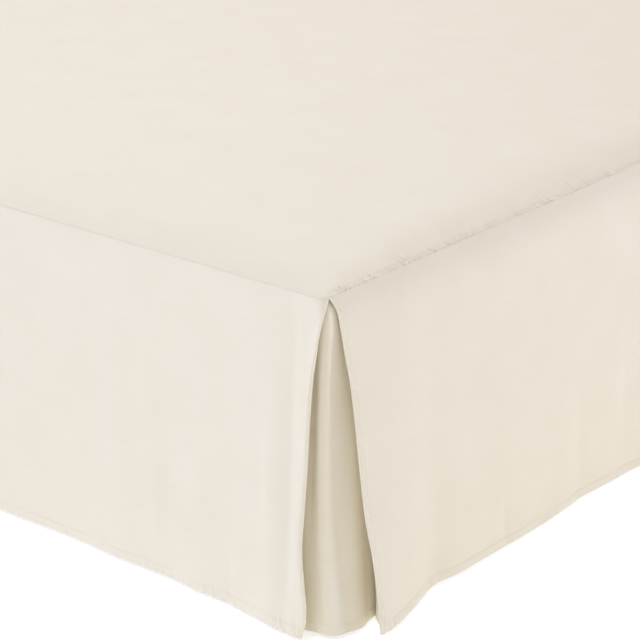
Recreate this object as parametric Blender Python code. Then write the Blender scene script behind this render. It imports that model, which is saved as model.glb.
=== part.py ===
"""Tailored bed skirt on a plain bed base.

A flat deck lies over the top of the base and rolls over its edge. Three straight panels hang from
the seam that runs round that edge: one at the foot and one down each long side. At both foot
corners the panels stop in a folded edge, turn back behind themselves and open as an inverted
pleat, with an insert behind. The head end is open. Metres, +Z up, head towards +Y.
"""
import math
from collections import namedtuple

import bmesh
import bpy
from mathutils import Vector

# Driving dimensions of the bed base, a queen size of 60 by 80 inches
BASE_WIDTH = 1.524
BASE_LENGTH = 2.032
BASE_HEIGHT = 0.229
BASE_CORNER = 0.045
BASE_TOP_ROUND = 0.032
BASE_BOTTOM_ROUND = 0.012

# Driving dimensions of the skirt
DROP = 0.406            # seam to hem, 16 inches
FLOOR_CLEARANCE = 0.006
CLOTH = 0.0015
HEM_CLOTH = 0.0020
HEM_DEPTH = 0.012
ROLL = 0.028            # radius of the cloth where it rolls over the edge of the base
SEAM_ANGLE = math.radians(45)
EDGE_CORNER = 0.018     # plan radius of the cloth at a corner, where it hangs upright
FOLD_RADIUS = 0.0012    # half the space that a panel and its turned back edge take up
PLEAT_DEPTH = 0.088     # how far a panel's turned back edge reaches behind it
GAP = 0.0003
HEAD_SHORT = 0.012      # a side panel ends this far before the seam's corner at the head
SHARPEST = 0.003        # smallest plan radius of the deck where its flat top begins
EASE = 0.0085           # space between the sides of the base and the outside of the cloth

# Driving dimensions of the frame and legs under the base
RAIL_HEIGHT = 0.038
RAIL_WIDTH = 0.040
RAIL_INSET = 0.030
LEG_RADIUS = 0.019
LEG_TOE = 0.016
LEG_SIDES = 16

# Where the seam and the upright face of the cloth lie
ROLL_OUT = ROLL * (1 - math.sin(SEAM_ANGLE))
ROLL_DEPTH = ROLL * math.cos(SEAM_ANGLE)
SEAM_HEIGHT = FLOOR_CLEARANCE + DROP
DECK_TOP = SEAM_HEIGHT + ROLL * (1 - math.cos(SEAM_ANGLE))
BASE_TOP = DECK_TOP - CLOTH - GAP
FACE_X = BASE_WIDTH / 2 + EASE
FACE_Y = BASE_LENGTH / 2 + EASE
SEAM_X = FACE_X - ROLL_OUT
SEAM_Y = FACE_Y - ROLL_OUT
FOOT_SEAM = 2 * SEAM_X
SIDE_SEAM = 2 * SEAM_Y

# How far the middle of each layer of a pleat lies inside the outer face of the skirt
FACE_LAYER = CLOTH / 2
RETURN_LAYER = FACE_LAYER + 2 * FOLD_RADIUS
INSERT_LAYER = RETURN_LAYER + HEM_CLOTH + GAP
CENTRE_Y = 0.0125       # the foot flares out, so the base sits this far towards the head

# A soft fold: its place along the seam from the corner, its half width, and how far the hem
# stands out there
Fold = namedtuple("Fold", "at width out")
# One row of an edge: depth below the seam, and distance from the corner of the two seams
EdgeRow = namedtuple("EdgeRow", "depth setback")
# One row of the insert's hem: distances from the corner, outwards over the side and along it
InsertRow = namedtuple("InsertRow", "over along")
# One side of the bed: the corner of its seam, the way along it and the way out
Side = namedtuple("Side", "corner along out")

FOOT_HANG = 0.012
FOOT_FOLDS = (
    Fold(0.020, 0.085, 0.0145),
    Fold(0.178, 0.022, 0.0025),
    Fold(0.245, 0.030, -0.0015),
    Fold(0.315, 0.030, 0.0020),
    Fold(0.400, 0.045, -0.0018),
    Fold(0.560, 0.070, 0.0035),
    Fold(0.740, 0.065, -0.0030),
    Fold(0.905, 0.060, 0.0040),
    Fold(1.060, 0.055, -0.0025),
    Fold(1.190, 0.040, 0.0030),
    Fold(1.330, 0.040, -0.0020),
    Fold(FOOT_SEAM - 0.020, 0.080, 0.0140),
)
SIDE_HANG = 0.031
RIGHT_FOLDS = (
    Fold(0.050, 0.075, 0.0225),
    Fold(0.172, 0.030, -0.0075),
    Fold(0.350, 0.070, 0.0022),
    Fold(0.485, 0.035, -0.0018),
    Fold(0.660, 0.060, 0.0060),
    Fold(0.830, 0.055, -0.0050),
    Fold(0.990, 0.065, 0.0050),
    Fold(1.180, 0.060, -0.0055),
    Fold(1.360, 0.070, 0.0045),
    Fold(1.560, 0.060, -0.0050),
    Fold(1.760, 0.070, 0.0060),
    Fold(1.960, 0.070, -0.0070),
)
LEFT_FOLDS = (
    Fold(0.048, 0.078, 0.0215),
    Fold(0.180, 0.034, -0.0065),
    Fold(0.330, 0.060, 0.0030),
    Fold(0.510, 0.050, -0.0030),
    Fold(0.700, 0.065, 0.0050),
    Fold(0.900, 0.060, -0.0045),
    Fold(1.080, 0.060, 0.0055),
    Fold(1.270, 0.070, -0.0050),
    Fold(1.450, 0.060, 0.0050),
    Fold(1.640, 0.065, -0.0045),
    Fold(1.830, 0.060, 0.0050),
    Fold(1.980, 0.060, -0.0060),
)

# The folded edges of the pleat, from the seam down to the hem
FOOT_EDGE = (
    EdgeRow(0.000, 0.0000),
    EdgeRow(0.016, 0.0022),
    EdgeRow(0.039, 0.0065),
    EdgeRow(0.065, 0.0103),
    EdgeRow(0.095, 0.0140),
    EdgeRow(0.146, 0.0160),
    EdgeRow(0.228, 0.0168),
    EdgeRow(0.278, 0.0196),
    EdgeRow(0.316, 0.0176),
    EdgeRow(0.370, 0.0088),
    EdgeRow(0.406, 0.0127),
)
SIDE_EDGE = (
    EdgeRow(0.000, 0.0080),
    EdgeRow(0.012, 0.0155),
    EdgeRow(0.021, 0.0208),
    EdgeRow(0.047, 0.0250),
    EdgeRow(0.085, 0.0277),
    EdgeRow(0.129, 0.0304),
    EdgeRow(0.220, 0.0312),
    EdgeRow(0.264, 0.0320),
    EdgeRow(0.314, 0.0372),
    EdgeRow(0.358, 0.0382),
    EdgeRow(0.406, 0.0370),
)
INSERT_HEM = (
    InsertRow(-PLEAT_DEPTH, -0.0120),
    InsertRow(-0.0550, -0.0105),
    InsertRow(-0.0250, -0.0080),
    InsertRow(-0.0090, -0.0035),
    InsertRow(0.0050, -0.0005),
    InsertRow(0.0150, 0.0065),
    InsertRow(0.0185, 0.0180),
    InsertRow(0.0240, 0.0340),
    InsertRow(0.0240, 0.0440),
    InsertRow(0.0195, 0.0590),
    InsertRow(0.0190, PLEAT_DEPTH),
)

# How finely each piece of cloth is divided
ROLL_ROWS = (0.0, 0.0065, 0.0130)
FALL_ROWS = (0.047, 0.085, 0.130, 0.180, 0.230, 0.278, 0.325, 0.365)
HEM_ROWS = 2
DEPTHS = ROLL_ROWS + (ROLL_DEPTH,) + FALL_ROWS + (DROP - HEM_DEPTH, DROP)
FACE_COLUMNS = 30
FACE_CROWDING = 1.7
RETURN_COLUMNS = 5
BEND_COLUMNS = 5
INSERT_COLUMNS = 20
CORNER_STEPS = 5
DECK_ANGLES = (0.0, 0.26, 0.52)
CREASE_ANGLE = math.radians(40)


def clear_scene():
    """Start from an empty scene."""
    for old in list(bpy.data.objects):
        bpy.data.objects.remove(old, do_unlink=True)


def make_material(name, colour, roughness, metallic=0.0):
    """A Principled material with one colour."""
    material = bpy.data.materials.new(name)
    material.use_nodes = True
    shader = material.node_tree.nodes["Principled BSDF"]
    shader.inputs["Base Color"].default_value = (*colour, 1.0)
    shader.inputs["Roughness"].default_value = roughness
    shader.inputs["Metallic"].default_value = metallic
    material.diffuse_color = (*colour, 1.0)
    return material


def finish_object(name, mesh_edit, material, smooth=True):
    """Turn a bmesh into a named object of one closed body with its faces pointing out."""
    bmesh.ops.recalc_face_normals(mesh_edit, faces=mesh_edit.faces)
    mesh = bpy.data.meshes.new(name)
    mesh_edit.to_mesh(mesh)
    mesh_edit.free()
    if smooth:
        mesh.shade_smooth()
        mesh.set_sharp_from_angle(angle=CREASE_ANGLE)
    mesh.materials.append(material)
    thing = bpy.data.objects.new(name, mesh)
    bpy.context.scene.collection.objects.link(thing)
    return thing


def blend_steps(amount):
    """Ease in and out between 0 and 1."""
    amount = min(max(amount, 0.0), 1.0)
    return amount * amount * (3 - 2 * amount)


def curve_at(rows, place):
    """Read a table of two columns at a place, with a smooth curve through its rows."""
    if place <= rows[0][0]:
        return rows[0][1]
    if place >= rows[-1][0]:
        return rows[-1][1]
    index = 0
    while rows[index + 1][0] < place:
        index += 1
    before = rows[max(index - 1, 0)]
    start, end = rows[index], rows[index + 1]
    after = rows[min(index + 2, len(rows) - 1)]
    span = end[0] - start[0]
    part = (place - start[0]) / span
    rise_in = (end[1] - before[1]) / (end[0] - before[0]) * span
    rise_out = (after[1] - start[1]) / (after[0] - start[0]) * span
    square, cube = part ** 2, part ** 3
    return ((2 * cube - 3 * square + 1) * start[1] + (cube - 2 * square + part) * rise_in
            + (3 * square - 2 * cube) * end[1] + (cube - square) * rise_out)


def roll_angle(depth):
    """The tilt of the cloth at a depth below the seam, upright at a quarter turn."""
    return math.acos(max(math.cos(SEAM_ANGLE) - depth / ROLL, 0.0))


def roll_out(depth):
    """How far the outside of the cloth has rolled out from the seam at a depth."""
    return ROLL * (math.sin(roll_angle(depth)) - math.sin(SEAM_ANGLE))


def fall(depth):
    """How much of a hem's flare the cloth has at a depth, from 0 at the roll to 1 at the hem."""
    return max((depth - ROLL_DEPTH) / (DROP - ROLL_DEPTH), 0.0) ** 1.1


def hem_out(hang, folds, along):
    """How far a panel's hem stands out from the seam."""
    return hang + sum(fold.out * math.exp(-((along - fold.at) / fold.width) ** 2) for fold in folds)


def face_flare(hang, folds, along, depth):
    """How far a panel has swung out past its upright face at a depth."""
    return (hem_out(hang, folds, along) - ROLL_OUT) * fall(depth)


def insert_flare(hem, depth):
    """The same for the hidden ends of an insert, from the place of their hem."""
    return (hem - ROLL_OUT + INSERT_LAYER) * fall(depth)


def cloth_point(along, flare, inside, depth):
    """A point of a cloth that lies a distance inside the outer face, square to it."""
    tilt = roll_angle(depth)
    out = roll_out(depth) + flare - inside * math.sin(tilt)
    return along, out, depth + inside * math.cos(tilt)


def pleat_edge(hang, folds, edge, insert_hem, depth):
    """One pleat edge at a depth: the turned back part from its hidden end, then round the bend."""
    bend = curve_at(edge, depth) + FOLD_RADIUS
    points = []
    for step in range(RETURN_COLUMNS):
        along = PLEAT_DEPTH + (bend - PLEAT_DEPTH) * step / RETURN_COLUMNS
        near = face_flare(hang, folds, along, depth)
        far = insert_flare(insert_hem, depth)
        share = blend_steps((along - bend) / (PLEAT_DEPTH - bend))
        points.append(cloth_point(along, near + (far - near) * share, RETURN_LAYER, depth))
    flare = face_flare(hang, folds, bend, depth)
    for step in range(BEND_COLUMNS):
        turn = math.pi * step / BEND_COLUMNS
        inside = FACE_LAYER + FOLD_RADIUS * (1 + math.cos(turn))
        points.append(cloth_point(bend - FOLD_RADIUS * math.sin(turn), flare, inside, depth))
    return points, bend


def side_row(folds, depth):
    """One row of a side panel at a depth, from its turned back edge to the head end."""
    points, start = pleat_edge(SIDE_HANG, folds, SIDE_EDGE, INSERT_HEM[-1].over, depth)
    end = SIDE_SEAM - HEAD_SHORT
    for step in range(FACE_COLUMNS + 1):
        along = start + (end - start) * (step / FACE_COLUMNS) ** FACE_CROWDING
        points.append(cloth_point(along, face_flare(SIDE_HANG, folds, along, depth), FACE_LAYER, depth))
    return points


def foot_row(depth):
    """One row of the foot panel at a depth, from one turned back edge to the other."""
    insert_hem = -INSERT_HEM[0].along
    far_folds = [Fold(FOOT_SEAM - fold.at, fold.width, fold.out) for fold in FOOT_FOLDS]
    points, start = pleat_edge(FOOT_HANG, FOOT_FOLDS, FOOT_EDGE, insert_hem, depth)
    far_points, far_start = pleat_edge(FOOT_HANG, far_folds, FOOT_EDGE, insert_hem, depth)
    end = FOOT_SEAM - far_start
    for step in range(FACE_COLUMNS + 1):
        place = step / FACE_COLUMNS
        crowded = (1 - math.cos(math.pi * place)) / 2
        along = start + (end - start) * (place + crowded) / 2
        flare = face_flare(FOOT_HANG, FOOT_FOLDS, along, depth)
        points.append(cloth_point(along, flare, FACE_LAYER, depth))
    points += [(FOOT_SEAM - along, out, sunk) for along, out, sunk in reversed(far_points)]
    return points


def insert_top(place, depth):
    """A point of the insert's plan under the roll: straight, round the corner, straight."""
    tilt = roll_angle(depth)
    centre = ROLL_OUT - EDGE_CORNER
    radius = EDGE_CORNER - ROLL_OUT + roll_out(depth) - INSERT_LAYER * math.sin(tilt)
    straight = PLEAT_DEPTH + centre
    length = 2 * straight + radius * math.pi / 2
    walked = place * length
    if walked < straight:
        return walked - PLEAT_DEPTH, -centre - radius
    if walked > length - straight:
        return centre + radius, PLEAT_DEPTH - (length - walked)
    turn = (walked - straight) / radius
    return centre + radius * math.sin(turn), -centre - radius * math.cos(turn)


def insert_hem_curves():
    """The insert's hem as two tables against the distance walked along it."""
    walked = 0.0
    over_rows, along_rows = [], []
    previous = INSERT_HEM[0]
    for row in INSERT_HEM:
        walked += math.hypot(row.over - previous.over, row.along - previous.along)
        over_rows.append((walked, row.over))
        along_rows.append((walked, row.along))
        previous = row
    return walked, over_rows, along_rows


def insert_row(depth):
    """One row of an insert at a depth, from behind the foot panel to behind the side panel."""
    length, over_rows, along_rows = insert_hem_curves()
    share = fall(depth)
    sunk = depth + INSERT_LAYER * math.cos(roll_angle(depth))
    points = []
    for step in range(INSERT_COLUMNS + 1):
        place = step / INSERT_COLUMNS
        top_over, top_along = insert_top(place, depth)
        over = top_over + (curve_at(over_rows, place * length) - top_over) * share
        along = top_along + (curve_at(along_rows, place * length) - top_along) * share
        points.append((along, over, sunk))
    return points


def place_on(side, along, out, depth):
    """A point of a side of the bed in the world."""
    return side.corner + side.along * along + side.out * out - Vector((0, 0, depth))


def hang_cloth(name, grid, material):
    """Make a sheet from rows of points, given its thickness by Solidify, thicker at its hem."""
    edit = bmesh.new()
    weights = edit.verts.layers.deform.verify()
    rows = [[edit.verts.new(point) for point in row] for row in grid]
    hem_start = len(rows) - HEM_ROWS
    for number, row in enumerate(rows):
        for vertex in row:
            vertex[weights][0] = 1.0 if number >= hem_start else CLOTH / HEM_CLOTH
    for upper, lower in zip(rows, rows[1:]):
        for index in range(len(upper) - 1):
            edit.faces.new((upper[index], upper[index + 1], lower[index + 1], lower[index]))
    thing = finish_object(name, edit, material)
    group = thing.vertex_groups.new(name="thickness")
    solidify = thing.modifiers.new("cloth", "SOLIDIFY")
    solidify.thickness = HEM_CLOTH
    solidify.offset = 0.0
    solidify.use_even_offset = True
    solidify.vertex_group = group.name
    return thing


def make_panel(name, side, row_at, material):
    """Hang one piece of cloth from the seam of its side."""
    grid = [[place_on(side, *point) for point in row_at(depth)] for depth in DEPTHS]
    return hang_cloth(name, grid, material)


def rounded_ring(inset, radius, height):
    """A level ring round the bed, inside the upright face of the cloth, with round corners."""
    points = []
    reach_x = FACE_X - inset - radius
    reach_y = FACE_Y - inset - radius
    for quarter, (sign_x, sign_y) in enumerate(((1, 1), (-1, 1), (-1, -1), (1, -1))):
        for step in range(CORNER_STEPS + 1):
            turn = math.pi / 2 * (quarter + step / CORNER_STEPS)
            x = sign_x * reach_x + radius * math.cos(turn)
            y = sign_y * reach_y + radius * math.sin(turn)
            points.append(Vector((x, y + CENTRE_Y, height)))
    return points


def deck_rings(thickness):
    """Rings of the deck from the flat top to the seam, at a depth inside its outer face."""
    end = SEAM_ANGLE - GAP / ROLL
    rings = []
    for angle in DECK_ANGLES + (end,):
        inset = ROLL * (1 - math.sin(angle)) + thickness * math.sin(angle)
        height = DECK_TOP - ROLL * (1 - math.cos(angle)) - thickness * math.cos(angle)
        radius = max(EDGE_CORNER - inset, SHARPEST - thickness / 3)
        rings.append(rounded_ring(inset, radius, height))
    return rings


def make_deck(material):
    """The flat deck, rolled over the edge of the base down to the seam."""
    edit = bmesh.new()
    loops = []
    for ring in deck_rings(0.0) + list(reversed(deck_rings(CLOTH))):
        loops.append([edit.verts.new(point) for point in ring])
    edit.faces.new(loops[0])
    edit.faces.new(reversed(loops[-1]))
    count = len(loops[0])
    for upper, lower in zip(loops, loops[1:]):
        for index in range(count):
            after = (index + 1) % count
            edit.faces.new((upper[index], lower[index], lower[after], upper[after]))
    return finish_object("deck", edit, material)


def make_box(name, size, centre, material, smooth=False):
    """A plain box of a size round a centre."""
    edit = bmesh.new()
    bmesh.ops.create_cube(edit, size=1.0)
    bmesh.ops.scale(edit, vec=size, verts=edit.verts)
    thing = finish_object(name, edit, material, smooth)
    thing.location = centre
    return thing


def make_base(material):
    """The upholstered base: a deep box with round corners and a soft top edge."""
    edit = bmesh.new()
    bmesh.ops.create_cube(edit, size=1.0)
    bmesh.ops.scale(edit, vec=(BASE_WIDTH, BASE_LENGTH, BASE_HEIGHT), verts=edit.verts)
    uprights = [edge for edge in edit.edges if abs(edge.verts[0].co.z - edge.verts[1].co.z) > GAP]
    bmesh.ops.bevel(edit, geom=uprights, offset=BASE_CORNER, segments=4, profile=0.5,
                    affect="EDGES", material=-1)
    for sign, width, segments in ((1, BASE_TOP_ROUND, 4), (-1, BASE_BOTTOM_ROUND, 2)):
        level = sign * BASE_HEIGHT / 2
        rim = [edge for edge in edit.edges if all(abs(v.co.z - level) < GAP for v in edge.verts)]
        bmesh.ops.bevel(edit, geom=rim, offset=width, segments=segments, profile=0.5,
                        affect="EDGES", material=-1)
    base = finish_object("base", edit, material)
    base.location = (0, CENTRE_Y, BASE_TOP - BASE_HEIGHT / 2)
    return base


def make_leg(name, height, place, material):
    """A round leg, a little narrower at its toe."""
    edit = bmesh.new()
    bmesh.ops.create_cone(edit, cap_ends=True, segments=LEG_SIDES, radius1=LEG_TOE,
                          radius2=LEG_RADIUS, depth=height)
    leg = finish_object(name, edit, material)
    leg.location = (place[0], place[1], height / 2)
    return leg


def make_frame(steel, plastic):
    """Rails under the base, and three rows of legs under the rails."""
    rail_top = BASE_TOP - BASE_HEIGHT - GAP
    rail_height = rail_top - RAIL_HEIGHT / 2
    side_x = BASE_WIDTH / 2 - RAIL_INSET - RAIL_WIDTH / 2
    long_rail = BASE_LENGTH - 2 * RAIL_INSET
    rows = (("left", -side_x), ("middle", 0.0), ("right", side_x))
    for row_name, x in rows:
        size = (RAIL_WIDTH, long_rail, RAIL_HEIGHT)
        make_box("rail_" + row_name, size, (x, CENTRE_Y, rail_height), steel)
    cross = side_x - RAIL_WIDTH - 2 * GAP
    end_y = long_rail / 2 - RAIL_WIDTH / 2
    for end_name, sign_y in (("foot", -1), ("head", 1)):
        for half_name, sign_x in (("left", -1), ("right", 1)):
            centre = (sign_x * side_x / 2, CENTRE_Y + sign_y * end_y, rail_height)
            name = "rail_" + end_name + "_" + half_name
            make_box(name, (cross, RAIL_WIDTH, RAIL_HEIGHT), centre, steel)
    leg_height = rail_top - RAIL_HEIGHT - GAP
    for row_name, x in rows:
        for leg_name, sign_y in (("foot", -1), ("mid", 0), ("head", 1)):
            place = (x, CENTRE_Y + sign_y * end_y)
            make_leg("leg_" + row_name + "_" + leg_name, leg_height, place, plastic)


def main():
    """Build the skirt, then the bed base that it hangs on."""
    clear_scene()
    ivory = make_material("ivory_microfibre", (0.80, 0.74, 0.63), 0.85)
    ticking = make_material("white_ticking", (0.82, 0.82, 0.80), 0.90)
    steel = make_material("grey_steel", (0.20, 0.21, 0.22), 0.45, 0.6)
    plastic = make_material("black_plastic", (0.04, 0.04, 0.045), 0.50)

    foot_y = CENTRE_Y - SEAM_Y
    right_corner = Vector((SEAM_X, foot_y, SEAM_HEIGHT))
    left_corner = Vector((-SEAM_X, foot_y, SEAM_HEIGHT))
    foot = Side(right_corner, Vector((-1, 0, 0)), Vector((0, -1, 0)))
    right = Side(right_corner, Vector((0, 1, 0)), Vector((1, 0, 0)))
    left = Side(left_corner, Vector((0, 1, 0)), Vector((-1, 0, 0)))

    make_deck(ivory)
    make_panel("skirt_foot", foot, foot_row, ivory)
    make_panel("skirt_right", right, lambda depth: side_row(RIGHT_FOLDS, depth), ivory)
    make_panel("skirt_left", left, lambda depth: side_row(LEFT_FOLDS, depth), ivory)
    make_panel("pleat_insert_right", right, insert_row, ivory)
    make_panel("pleat_insert_left", left, insert_row, ivory)
    make_base(ticking)
    make_frame(steel, plastic)


main()
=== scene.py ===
"""Looks of a tailored bed skirt on a plain bed base, in metres, head towards +Y.

The skirt is a deck laid over the base, three straight panels sewn to its rim, and an insert
behind the inverted pleat at each foot corner. The base, its rails and its legs show under it.
"""

import bisect
import math
import random
from collections import namedtuple

import bmesh
import bpy
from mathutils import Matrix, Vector, noise


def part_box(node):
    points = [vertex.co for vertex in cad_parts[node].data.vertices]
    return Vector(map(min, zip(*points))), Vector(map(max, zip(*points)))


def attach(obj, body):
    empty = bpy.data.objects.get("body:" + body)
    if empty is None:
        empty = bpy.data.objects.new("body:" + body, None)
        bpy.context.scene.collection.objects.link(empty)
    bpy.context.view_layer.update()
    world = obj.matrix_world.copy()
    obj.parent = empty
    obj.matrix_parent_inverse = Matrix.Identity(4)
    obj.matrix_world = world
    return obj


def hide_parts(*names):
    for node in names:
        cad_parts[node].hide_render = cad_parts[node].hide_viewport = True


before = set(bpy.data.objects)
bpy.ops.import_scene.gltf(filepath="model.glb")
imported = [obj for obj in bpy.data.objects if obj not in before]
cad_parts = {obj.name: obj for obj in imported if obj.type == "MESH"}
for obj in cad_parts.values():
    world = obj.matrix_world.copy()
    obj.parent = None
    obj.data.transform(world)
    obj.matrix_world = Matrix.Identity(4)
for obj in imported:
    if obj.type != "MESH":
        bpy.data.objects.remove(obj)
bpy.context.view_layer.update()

# The bed base, a queen size
BASE_WIDTH = 1.524
BASE_LENGTH = 2.032
BASE_CORNER = 0.045
BASE_TOP_ROUND = 0.032
BASE_BOTTOM_ROUND = 0.012
BASE_BACK = 0.009       # its foot end stands back this far, to leave the sunk inserts room
BASE_CUTS = (0.012, 0.022, 0.034, 0.050, 0.070, 0.100, 0.150, 0.250, 0.400)
BASE_UNDER = 0.0030     # its top lies this far below the deck
BASE_SEAM_BELOW = 0.045     # its upper seam lies this far below its top
BASE_SEAM_ABOVE = 0.030     # and its lower one this far above its underside
BASE_SEAM_STEP = 0.0016
BASE_SEAM_DEPTH = 0.0022
TUBE_ARRIS = 0.003

# The skirt as it was cut and sewn
DROP = 0.406            # seam to hem
FLOOR_CLEARANCE = 0.006
CLOTH = 0.0009
HEM_CLOTH = 0.0018
HEM_DEPTH = 0.012
PLEAT_DEPTH = 0.088     # how far a panel's turned back edge reaches behind it
RETURN_SPREAD = 0.032   # how far from its fold the turned back cloth still comes nearer the insert
HEAD_SHORT = 0.012      # a side panel ends this far before the seam's corner at the head
SHARPEST = 0.003        # smallest plan radius of the deck's rows at a corner
CENTRE_Y = 0.0125

# Where the seam lies: just outside the sides of the base
SEAM_HEIGHT = FLOOR_CLEARANCE + DROP
SEAM_X = BASE_WIDTH / 2 + 0.0003
SEAM_Y = BASE_LENGTH / 2 + 0.0003
FOOT_SEAM = 2 * SEAM_X
SIDE_SEAM = 2 * SEAM_Y
SEAM_CORNER = 0.0098    # plan radius of the seam at a corner
CORNER_HELD = 0.036     # depth by which a panel's edge has left the round of the corner
ROLL_END = 0.030        # depth at which the cloth has rolled over the edge and starts to fall
INSERT_TOP = 0.0047     # how far the insert lies inside the panels' face at the seam
INSERT_DEEP = 0.0085    # and how far lower down
INSERT_SETTLES = 0.12   # the depth from which it lies that far in
FLARE_POWER = 1.1       # a panel flares a little faster towards its hem

# One row across the deck's rim: distance inwards of the seam, and rise above it
RimRow = namedtuple("RimRow", "inwards rise")
# One row of a panel's roll over the edge: depth below the seam, and distance out of it
RollRow = namedtuple("RollRow", "depth out")
# The cloth at one depth: how far it has rolled out, its tilt, and its share of the hem's flare
Level = namedtuple("Level", "depth out tilt share")
# A soft fold: its place along the seam from the corner, its half width, and how far the hem
# stands out there
Fold = namedtuple("Fold", "at width out")
# One row of an edge: depth below the seam, and distance from the corner of the two seams
EdgeRow = namedtuple("EdgeRow", "depth setback")
# One row of the insert's hem: distances from the corner, outwards over the side and along it
InsertRow = namedtuple("InsertRow", "over along")
# How far the middle of an insert is drawn in at a depth, away from the corner
SinkRow = namedtuple("SinkRow", "depth inwards")
# One side of the bed: the corner of its seam, the way along it and the way out
Side = namedtuple("Side", "corner along out")
# The turned fold at a panel's edge: its thickness at the seam and lower down, how far the panel
# lifts outwards before it, how wide that lift is, and how high the pressed bead on it stands
Turn = namedtuple("Turn", "top bottom lift reach bead")
# A group of puckers along a seam: where it starts and ends, how many, how high and how long
Gather = namedtuple("Gather", "start end ridges height reach")
# One pucker: its place, half width, height, length, lean and bend
Pucker = namedtuple("Pucker", "at width height reach lean bend")
# A crease in a hanging panel: the ends of its line, its half width and its height
Crease = namedtuple("Crease", "along depth end_along end_depth width height")
# A whole panel
Panel = namedtuple(
    "Panel", "roll groove hang folds edge insert_hem turn creases puckers hem_puckers seed")
# One straight stretch of the deck's seam: the way out, the way along, its columns, how they
# crowd towards one end, how deep the seam is drawn in, and its puckers
Strip = namedtuple("Strip", "out along columns crowding groove puckers")
# A studio light: its bearing round from the foot and its height in degrees, distance and so on
Softbox = namedtuple("Softbox", "name bearing height distance width power colour")


def table(kind, *rows):
    """A table's rows, each with the columns of its kind."""
    return tuple(kind(*row) for row in rows)


# The deck sags a little towards its seams, most along the sides
SIDE_CROWN = table(
    RimRow,
    (0.000, 0.0000), (0.004, 0.0016), (0.008, 0.0029), (0.013, 0.0043), (0.020, 0.0062),
    (0.030, 0.0088), (0.045, 0.0121), (0.060, 0.0147), (0.080, 0.0168), (0.100, 0.0178),
    (0.130, 0.0183), (0.200, 0.0186))
FOOT_CROWN = table(
    RimRow,
    (0.000, 0.0000), (0.003, 0.0006), (0.008, 0.0015), (0.013, 0.0023), (0.025, 0.0042),
    (0.040, 0.0062), (0.060, 0.0081), (0.100, 0.0106), (0.200, 0.0146), (0.400, 0.0186))
# A side panel rolls over the edge; the foot panel hangs straight from a pressed seam
SIDE_ROLL = table(
    RollRow,
    (0.0000, 0.0000), (0.0012, 0.0006), (0.0025, 0.0013), (0.0050, 0.0027), (0.010, 0.0053),
    (0.015, 0.0074), (0.020, 0.0090), (0.026, 0.0103), (0.034, 0.0114), (0.045, 0.0120))
FOOT_ROLL = table(
    RollRow,
    (0.0000, 0.0000), (0.0010, 0.0008), (0.0025, 0.0013), (0.0050, 0.0017), (0.0100, 0.0021),
    (0.0200, 0.0026), (0.0340, 0.0030), (0.0450, 0.0032))

FOOT_HANG = 0.012
FOOT_FOLDS = table(
    Fold,
    (0.020, 0.085, 0.0145), (0.178, 0.022, 0.0025), (0.245, 0.030, -0.0015),
    (0.315, 0.030, 0.0020), (0.400, 0.045, -0.0018), (0.560, 0.070, 0.0035),
    (0.740, 0.065, -0.0030), (0.905, 0.060, 0.0040), (1.060, 0.055, -0.0025),
    (1.190, 0.040, 0.0030), (1.330, 0.040, -0.0020), (FOOT_SEAM - 0.020, 0.080, 0.0140))
SIDE_HANG = 0.031
RIGHT_FOLDS = table(
    Fold,
    (0.050, 0.075, 0.0225), (0.172, 0.030, -0.0075), (0.350, 0.070, 0.0022),
    (0.485, 0.035, -0.0018), (0.660, 0.060, 0.0060), (0.830, 0.055, -0.0050),
    (0.990, 0.065, 0.0050), (1.180, 0.060, -0.0055), (1.360, 0.070, 0.0045),
    (1.560, 0.060, -0.0050), (1.760, 0.070, 0.0060), (1.960, 0.070, -0.0070))
LEFT_FOLDS = table(
    Fold,
    (0.048, 0.078, 0.0215), (0.180, 0.034, -0.0065), (0.330, 0.060, 0.0030),
    (0.510, 0.050, -0.0030), (0.700, 0.065, 0.0050), (0.900, 0.060, -0.0045),
    (1.080, 0.060, 0.0055), (1.270, 0.070, -0.0050), (1.450, 0.060, 0.0050),
    (1.640, 0.065, -0.0045), (1.830, 0.060, 0.0050), (1.980, 0.060, -0.0060))

# The folded edges of the pleat, from the seam down to the hem
FOOT_EDGE = table(
    EdgeRow,
    (0.000, -0.0042), (0.015, -0.0019), (0.039, 0.0016), (0.065, 0.0052), (0.095, 0.0092),
    (0.147, 0.0115), (0.202, 0.0124), (0.257, 0.0141), (0.297, 0.0152), (0.338, 0.0110),
    (0.376, 0.0070), (0.389, 0.0085), (0.406, 0.0118))
SIDE_EDGE = table(
    EdgeRow,
    (0.000, 0.0086), (0.006, 0.0116), (0.018, 0.0146), (0.034, 0.0158), (0.061, 0.0191),
    (0.102, 0.0254), (0.148, 0.0281), (0.220, 0.0299), (0.264, 0.0316), (0.314, 0.0377),
    (0.375, 0.0403), (0.406, 0.0386))
INSERT_HEM = table(
    InsertRow,
    (-PLEAT_DEPTH, -0.0120), (-0.0550, -0.0105), (-0.0250, -0.0080),
    (-0.0090, -0.0035), (0.0050, -0.0005), (0.0150, 0.0065),
    (0.0185, 0.0180), (0.0240, 0.0340), (0.0240, 0.0440),
    (0.0195, 0.0590), (0.0190, PLEAT_DEPTH))
INSERT_SINK = table(
    SinkRow,
    (0.000, 0.0000), (0.020, 0.0007), (0.050, 0.0030), (0.100, 0.0066),
    (0.200, 0.0096), (0.300, 0.0085), (0.360, 0.0045), (0.406, 0.0000))
SINK_WAY = Vector((0.31, -0.95))    # along the side, and out over it
FOOT_TURN = Turn(top=0.0022, bottom=0.0056, lift=0.0045, reach=0.024, bead=0.0)
SIDE_TURN = Turn(top=0.0030, bottom=0.0040, lift=0.0, reach=0.004, bead=0.0006)

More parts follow.
